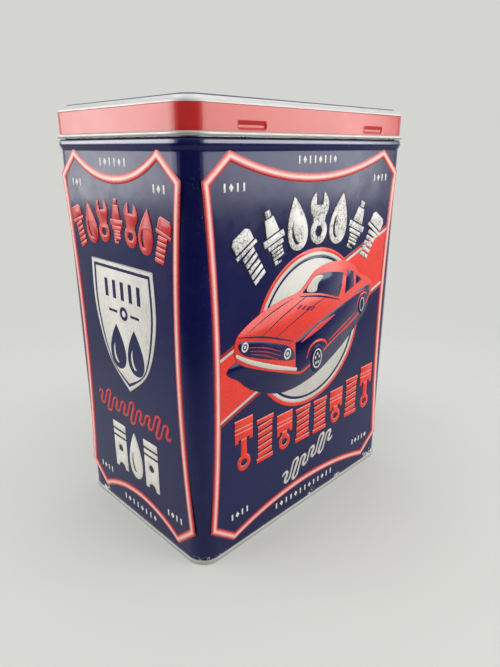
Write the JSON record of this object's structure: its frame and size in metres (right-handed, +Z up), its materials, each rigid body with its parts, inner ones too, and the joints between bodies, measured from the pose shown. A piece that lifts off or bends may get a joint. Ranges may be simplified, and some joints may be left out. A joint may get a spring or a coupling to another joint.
{
  "type": "rectangular tin can with hinged lid",
  "caption": "Tall rectangular tinplate storage can styled as a vintage motor oil can, with a push-shut lid hinged along its rear long side.",
  "frame": {"origin": "the middle of the base ring, on the surface that the can stands on", "axes": "+Z up; +X along the two wide faces; +Y towards the hinge, so the front wide face with the catch dimples above it faces -Y"},
  "size_m": [0.1922, 0.1332, 0.26],
  "materials": {
    "navy_lacquer": "glossy printed navy lacquer over tinplate, bare tin inside",
    "red_lacquer": "glossy red lacquer over tinplate",
    "bare_tinplate": "clear-lacquered bare tinplate, satin",
    "hinge_steel": "drawn steel wire, satin"
  },
  "bodies": {
    "body": {"body_shell": "navy_lacquer", "bottom_end": "bare_tinplate"},
    "lid": {"lid_shell": "red_lacquer", "hinge_wire_left": "hinge_steel", "hinge_wire_right": "hinge_steel"}
  },
  "joints": [
    {"name": "lid_hinge", "type": "hinge", "parent": "body", "child": "lid", "pos_m": [0, 0.06557, 0.24275], "axis": [-1, 0, 0], "range_deg": [0, 110]}
  ]
}
